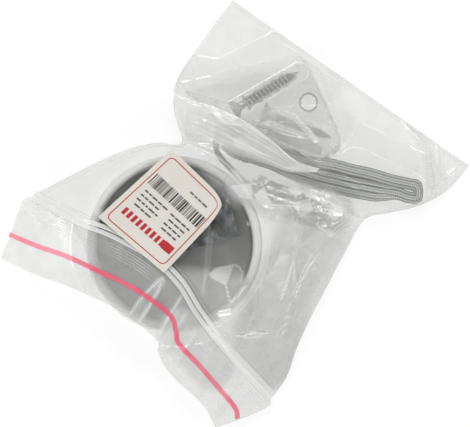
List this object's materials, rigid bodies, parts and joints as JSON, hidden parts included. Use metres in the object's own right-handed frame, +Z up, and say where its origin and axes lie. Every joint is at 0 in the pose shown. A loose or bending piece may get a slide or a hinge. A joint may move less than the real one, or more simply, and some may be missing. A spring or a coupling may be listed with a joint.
{
  "type": "suspension cable kit",
  "caption": "Hanging-cable mounting kit in a clear zip bag: ceiling cup, strap, coiled wire rope, cable gripper, screws and wall plugs.",
  "frame": {"origin": "centre of the whole object's box, on the underside of the bag's back film", "axes": "+Y from the bag's mouth to its sealed end, +X along the sealed edge, +Z up from the surface it lies on"},
  "size_m": [0.1196, 0.1248, 0.0245],
  "materials": {
    "film": "gloss",
    "inner_film": "gloss",
    "zip": "gloss",
    "paper": "matte",
    "white_paint": "satin",
    "nylon": "satin",
    "zinc": "satin",
    "nickel": "gloss",
    "rope": "satin"
  },
  "bodies": {
    "packed_kit": {"bag_back_film": "film", "bag_front_film": "film", "bag_back_lip": "film", "bag_front_lip": "film", "zip_groove": "zip", "zip_rib": "zip", "label": "paper", "inner_bag_back_film": "inner_film", "inner_bag_front_film": "inner_film", "ceiling_cup": "white_paint", "cup_grommet": "nylon", "mounting_strap": "zinc", "rope_hank": "rope", "rope_lead": "rope", "rope_tail": "rope", "rope_tip_sleeve": "nickel", "rope_end_stop": "nickel", "wood_screw_1": "zinc", "wood_screw_2": "zinc", "wall_plug_1": "nylon", "wall_plug_2": "nylon"},
    "gripper": {"gripper_body": "nickel", "gripper_cap": "nickel", "gripper_spring": "zinc", "gripper_ball_1": "zinc", "gripper_ball_2": "zinc", "gripper_ball_3": "zinc"},
    "plunger": {"gripper_plunger": "nickel"},
    "knurled_nut": {"gripper_nut": "nickel"},
    "side_screw_1": {"cup_screw_1": "zinc"},
    "side_screw_2": {"cup_screw_2": "zinc"}
  },
  "joints": [
    {"name": "gripper_slide", "type": "slide", "parent": "packed_kit", "child": "gripper", "axis": [0.9613, 0.2756, 0], "range_m": [0, 0.005]},
    {"name": "plunger_press", "type": "slide", "parent": "gripper", "child": "plunger", "axis": [-0.9613, -0.2756, 0], "range_m": [0, 0.0015], "stiffness_N_per_m": 400, "springref_m": -0.001},
    {"name": "nut_turn", "type": "hinge", "parent": "gripper", "child": "knurled_nut", "pos_m": [0.00639, 0.01489, 0.0051], "axis": [0.9613, 0.2756, 0], "continuous": true},
    {"name": "side_screw_1_turn", "type": "hinge", "parent": "packed_kit", "child": "side_screw_1", "pos_m": [-0.00821, -0.01811, 0.0117], "axis": [0.6347, 0.7727, 0], "continuous": true},
    {"name": "side_screw_2_turn", "type": "hinge", "parent": "packed_kit", "child": "side_screw_2", "pos_m": [-0.00821, -0.01811, 0.0117], "axis": [-0.6347, -0.7727, 0], "continuous": true}
  ]
}
